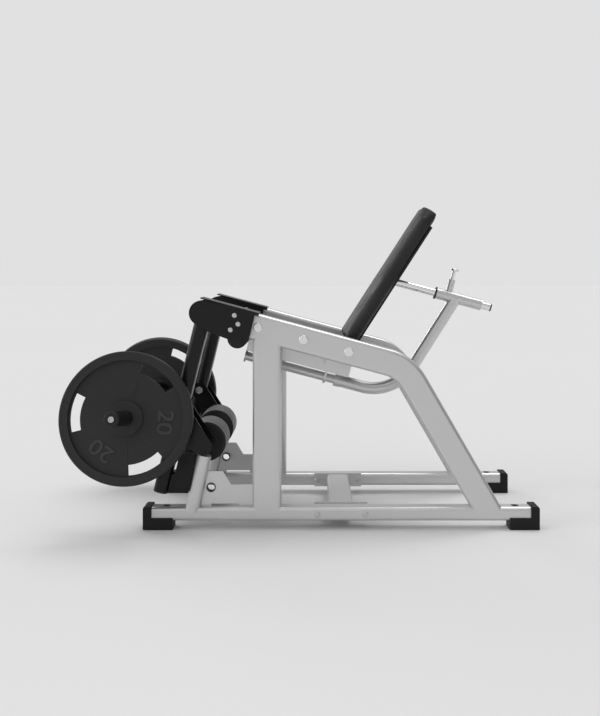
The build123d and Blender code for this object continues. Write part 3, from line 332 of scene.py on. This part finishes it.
# %% Swelling a pad
def swell(piece, voxel=0.006, pressure=3.0, reach=0.004):
    """Fills a closed pad with air for a few frames, and caps how far any point moves."""
    finish_with(piece, "REMESH", mode="VOXEL", voxel_size=voxel)
    rest = [vertex.co.copy() for vertex in piece.data.vertices]
    only(piece)
    cloth = piece.modifiers.new("cloth", "CLOTH")
    cloth.settings.use_pressure = True
    cloth.settings.uniform_pressure_force = pressure
    cloth.settings.effector_weights.gravity = 0
    for step in range(1, 13):
        bpy.context.scene.frame_set(step)
    bpy.ops.object.modifier_apply(modifier=cloth.name)
    bpy.context.scene.frame_set(1)
    for vertex, start in zip(piece.data.vertices, rest):
        shift = vertex.co - start
        if shift.length > reach:
            vertex.co = start + shift * (reach / shift.length)
    finish_with(piece, "SMOOTH", factor=0.5, iterations=3)
    return piece


# %% Model the back pad
BACK_TILT = math.radians(32.8)
up_back = Vector((math.sin(BACK_TILT), 0, math.cos(BACK_TILT)))
ahead = Vector((-math.cos(BACK_TILT), 0, math.sin(BACK_TILT)))
PAD_SIDE, PAD_BEVEL, PAD_BACK, FRONT_SHARE = 0.037, 0.018, 0.002, 0.66
PAD_FOOT_ALONG, PAD_FOOT_ABOVE = 0.5426, 0.026
# Height above the foot and half width, where the outline changes.
STATIONS = ((0.237, 0.137), (0.303, 0.119), (0.508, 0.119), (0.556, 0.092))
half_width = STATIONS[0][1]
reach_up = 0.001
low_corner = (-half_width, PAD_BACK, -reach_up)
pad = block("back_cushion", low_corner, (half_width, PAD_BACK + PAD_SIDE, reach_up))
for height, half in STATIONS:
    faces_where(pad, lambda centre, normal: normal.z > 0.9 and centre.z > reach_up - 0.002)
    bpy.ops.mesh.extrude_region_move(TRANSFORM_OT_translate={"value": (0, 0, height - reach_up)})
    bpy.ops.transform.resize(value=(half / half_width, 1, 1))
    bpy.ops.object.mode_set(mode="OBJECT")
    reach_up, half_width = height, half
faces_where(pad, lambda centre, normal: normal.y > 0.9)
bpy.ops.mesh.extrude_region_move(TRANSFORM_OT_translate={"value": (0, PAD_BEVEL, 0)})
bpy.ops.transform.resize(value=(FRONT_SHARE, 1, 1))
bpy.ops.object.mode_set(mode="OBJECT")
finish_with(pad, "BEVEL", width=0.003, segments=3)
swell(pad, voxel=0.005, reach=0.003)
smooth(pad, 28)
print("back pad rises", reach_up)

# %% Put the back pad in place
settle(pad, turn(across, ahead, up_back, sloped(PAD_FOOT_ALONG, PAD_FOOT_ABOVE)))
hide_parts("back_pad")
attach(pad, "back")
dress(pad, vinyl)

# %% [markdown]
# ## The seat
# The seat is a flat cushion with a soft front edge, over a round knee roll. The cushion is a
# closed form that swells a little between its corners.

# %% Model the seat cushion and its roll
# Places are along the slope from the knee axis, across the machine, and square above the slope.
SEAT_LOW, SEAT_HIGH = (0.116, -0.187, -0.042), (0.586, 0.187, 0.014)
ROLL_RADIUS, ROLL_LENGTH, ROLL_PLACE = 0.036, 0.376, (0.127, -0.064)
seat = block("seat_cushion", SEAT_LOW, SEAT_HIGH)
faces_where(seat, lambda centre, normal: normal.x < -0.9)
bpy.ops.transform.resize(value=(1, 1, 0.6))
bpy.ops.transform.translate(value=(0, 0, 0.004))
bpy.ops.object.mode_set(mode="OBJECT")
finish_with(seat, "BEVEL", width=0.014, segments=4)
swell(seat, voxel=0.006, pressure=4.0, reach=0.004)
settle(seat, turn(slide, across, lift, sloped(0, 0)))
smooth(seat, 40)
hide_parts("seat_pad")
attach(seat, "frame")
dress(seat, vinyl)

roll = drum("knee_roll", ROLL_RADIUS, ROLL_LENGTH, sides=48)
finish_with(roll, "BEVEL", width=0.010, segments=4, limit_method="ANGLE")
along_width = Matrix.Rotation(math.radians(90), 4, "X")
settle(roll, Matrix.Translation(sloped(*ROLL_PLACE)) @ along_width)
smooth(roll, 50)
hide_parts("seat_roll")
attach(roll, "frame")
dress(roll, vinyl)

# %% [markdown]
# ## The shin rollers
# Each roller is a foam drum in a tight grey cover with dark moulded ends. It starts as a
# cylinder whose ends are inset and pushed in, and its rims are rounded.

# %% Model the rollers
# Each step insets the end faces by a width and moves them by a depth.
END_STEPS = ((0.012, 0), (0.004, -0.002), (0.030, 0), (0.003, -0.006))
ROLLER_GAP = 0.0005
for name, side in SIDES.items():
    low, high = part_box(f"{name}_roller_foam")
    middle = (Vector(low) + Vector(high)) / 2
    radius = (high[2] - low[2]) / 2 - ROLLER_GAP
    width = high[1] - low[1] - 2 * ROLLER_GAP
    foam = drum(f"{name}_shin_roller", radius, width, sides=128)
    faces_where(foam, lambda centre, normal: abs(normal.z) > 0.9)
    for thickness, depth in END_STEPS:
        bpy.ops.mesh.inset(thickness=thickness, depth=depth)
    bpy.ops.object.mode_set(mode="OBJECT")
    finish_with(foam, "BEVEL", width=0.006, segments=4, limit_method="ANGLE", angle_limit=math.radians(50))
    foam.data.materials.append(cover)
    foam.data.materials.append(vinyl)
    for face in foam.data.polygons:
        face.material_index = 1 if abs(face.normal.z) > 0.6 else 0
    settle(foam, Matrix.Translation(middle) @ along_width)
    smooth(foam, 35)
    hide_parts(f"{name}_roller_foam")
    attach(foam, f"{name}_roller")

# %% [markdown]
# ## Numbers on the weight plates
# A cast plate carries its weight in raised figures. They are plain text, given thickness,
# made a mesh, and laid on the web of the plate, twice on each outer face.


# %% Raised figures
FIGURE_ANGLES = (-6, 234)
FIGURE_HEIGHT, FIGURE_WIDEN = 0.054, 1.15
FIGURE_RADIUS, PLATE_WEB = 0.131, 0.017


def plate_axes(name, side):
    """Three axes of a weight plate, seen square from outside."""
    out = Vector(joints[f"{name}_plate_slide"]["axis"]).normalized()
    right = Vector((1, 0, 0)) if side < 0 else Vector((-1, 0, 0))
    return right, out.cross(right), out


for name, side in SIDES.items():
    right, up, out = plate_axes(name, side)
    low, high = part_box(f"{name}_weight_plate")
    hub = (Vector(low) + Vector(high)) / 2
    for index, angle in enumerate(FIGURE_ANGLES):
        bpy.ops.object.select_all(action="DESELECT")
        bpy.ops.object.text_add()
        figure = bpy.context.active_object
        figure.data.body = "20"
        figure.data.size = FIGURE_HEIGHT
        figure.data.extrude = 0.0018
        figure.data.bevel_depth = 0.0008
        figure.data.align_x = "CENTER"
        figure.data.align_y = "CENTER"
        only(figure)
        bpy.ops.object.convert(target="MESH")
        figure.name = f"{name}_figures_{index + 1}"
        grow = FIGURE_HEIGHT / figure.dimensions.y
        turned = Matrix.Rotation(math.radians(angle - 90), 4, "Z")
        sized = Matrix.Diagonal((grow * FIGURE_WIDEN, grow, 1, 1))
        shift = Matrix.Translation((0, FIGURE_RADIUS, PLATE_WEB / 2)) @ sized
        settle(figure, turn(right, up, out, hub) @ turned @ shift)
        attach(figure, f"{name}_weight")
        dress(figure, raised)

# %% [markdown]
# ## Bolts in the horn ends
# A silver bolt holds the black cap in the end of each horn. It is a short drum with a
# rounded rim and a recess for the key.

# %% Model the horn bolts
BOLT_RADIUS, BOLT_DEPTH = 0.0095, 0.006
SOCKET_RADIUS, SOCKET_DEPTH = 0.005, 0.002
HORN_CAP = 0.009
mounts = {mount["name"]: mount for mount in record["mounts"]}
for name in SIDES:
    horn = mounts[f"{name}_horn_end"]
    out = Vector(horn["axis"]).normalized()
    tip = Vector(horn["pos_m"]) + out * (horn["dims"]["length_mm"] / 2000 + HORN_CAP)
    head = drum(f"{name}_horn_bolt", BOLT_RADIUS, BOLT_DEPTH, sides=48)
    faces_where(head, lambda centre, normal: normal.z > 0.9)
    bpy.ops.mesh.inset(thickness=BOLT_RADIUS - SOCKET_RADIUS)
    bpy.ops.mesh.inset(thickness=0.0002, depth=-SOCKET_DEPTH)
    bpy.ops.object.mode_set(mode="OBJECT")
    finish_with(head, "BEVEL", width=0.0015, segments=3, limit_method="ANGLE", angle_limit=math.radians(50))
    settle(head, turn(Vector((1, 0, 0)), out.cross(Vector((1, 0, 0))), out, tip))
    smooth(head, 40)
    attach(head, f"{name}_lever")
    dress(head, zinc)

# %% [markdown]
# ## Light, floor and camera
# The floor is a wide pale sheet. Soft distant lights stand overhead, behind the camera and
# at the machine's front end, and a low one behind it picks out the edges that face forward.
# They light the floor evenly, so that only the contact shadows show.

# %% Floor
bpy.ops.object.select_all(action="DESELECT")
bpy.ops.mesh.primitive_plane_add(size=120, location=(0, 0, 0))
floor = fresh("floor")
floor_paint = finish("floor_paint", 0.72, 0.735, (0.85, 0.95), scale=0.2, Specular_IOR_Level=0.0)
dress(floor, floor_paint)

# %% World and lights
# The studio is bright overhead and behind the machine, and dim behind the camera, so that
# faces turned to the camera read darker than tops and edges.
BRIGHT_SIDE = (-0.1, 0.5, 1.0)
SKY_STOPS = ((-0.6, 0.10), (0.0, 0.36), (0.5, 0.83), (1.0, 1.0))
world = bpy.data.worlds.new("studio")
bpy.context.scene.world = world
world.use_nodes = True
tree = world.node_tree
background = tree.nodes["Background"]
toward = tree.nodes.new("ShaderNodeVectorMath")
toward.operation = "DOT_PRODUCT"
toward.inputs[1].default_value = BRIGHT_SIDE
tree.links.new(tree.nodes.new("ShaderNodeTexCoord").outputs["Generated"], toward.inputs[0])
spread = tree.nodes.new("ShaderNodeMapRange")
spread.inputs["From Min"].default_value = SKY_STOPS[0][0]
spread.inputs["From Max"].default_value = SKY_STOPS[-1][0]
tree.links.new(toward.outputs["Value"], spread.inputs["Value"])
sky = tree.nodes.new("ShaderNodeValToRGB")
span = SKY_STOPS[-1][0] - SKY_STOPS[0][0]
while len(sky.color_ramp.elements) < len(SKY_STOPS):
    sky.color_ramp.elements.new(0.5)
for element, (level, tone) in zip(sky.color_ramp.elements, SKY_STOPS):
    element.position = (level - SKY_STOPS[0][0]) / span
    element.color = (tone, tone, tone, 1)
tree.links.new(spread.outputs["Result"], sky.inputs["Fac"])
tree.links.new(sky.outputs["Color"], background.inputs["Color"])
background.inputs["Strength"].default_value = 0.57
backdrop = tree.nodes.new("ShaderNodeBackground")
backdrop.inputs["Color"].default_value = (0.752, 0.752, 0.752, 1)
sight = tree.nodes.new("ShaderNodeLightPath").outputs["Is Camera Ray"]
seen = tree.nodes.new("ShaderNodeMixShader")
tree.links.new(sight, seen.inputs["Fac"])
tree.links.new(background.outputs[0], seen.inputs[1])
tree.links.new(backdrop.outputs[0], seen.inputs[2])
tree.links.new(seen.outputs[0], tree.nodes["World Output"].inputs["Surface"])


def sun(name, strength, spread, direction):
    """A soft distant light that shines along a direction."""
    lamp = bpy.data.objects.new(name, bpy.data.lights.new(name, "SUN"))
    lamp.data.energy = strength
    lamp.data.angle = math.radians(spread)
    lamp.rotation_euler = Vector(direction).to_track_quat("-Z", "Y").to_euler()
    bpy.context.collection.objects.link(lamp)


sun("overhead", 1.23, 40, (-0.2, -0.2, -1.0))
sun("rim", 0.6, 30, (0.64, -0.70, -0.31))
sun("front", 0.5, 70, (0.25, 1.0, -0.45))
sun("head", 0.7, 30, (1.0, 0.25, -0.35))

# %% Camera
EYE_PAST_KNEE, EYE_BACK, EYE_HEIGHT = 0.3896, 3.377, 0.882
FOCAL_LENGTH, SHIFT_X, SHIFT_Y = 53.94, -0.0283, -0.1417
lens = bpy.data.objects.new("camera", bpy.data.cameras.new("camera"))
bpy.context.collection.objects.link(lens)
lens.location = (knee.x + EYE_PAST_KNEE, -EYE_BACK, EYE_HEIGHT)
lens.rotation_euler = (math.radians(90), 0, 0)
lens.data.sensor_fit = "HORIZONTAL"
lens.data.sensor_width = 36
lens.data.lens = FOCAL_LENGTH
lens.data.shift_x = SHIFT_X
lens.data.shift_y = SHIFT_Y
bpy.context.scene.camera = lens
bpy.context.scene.view_settings.view_transform = "Standard"
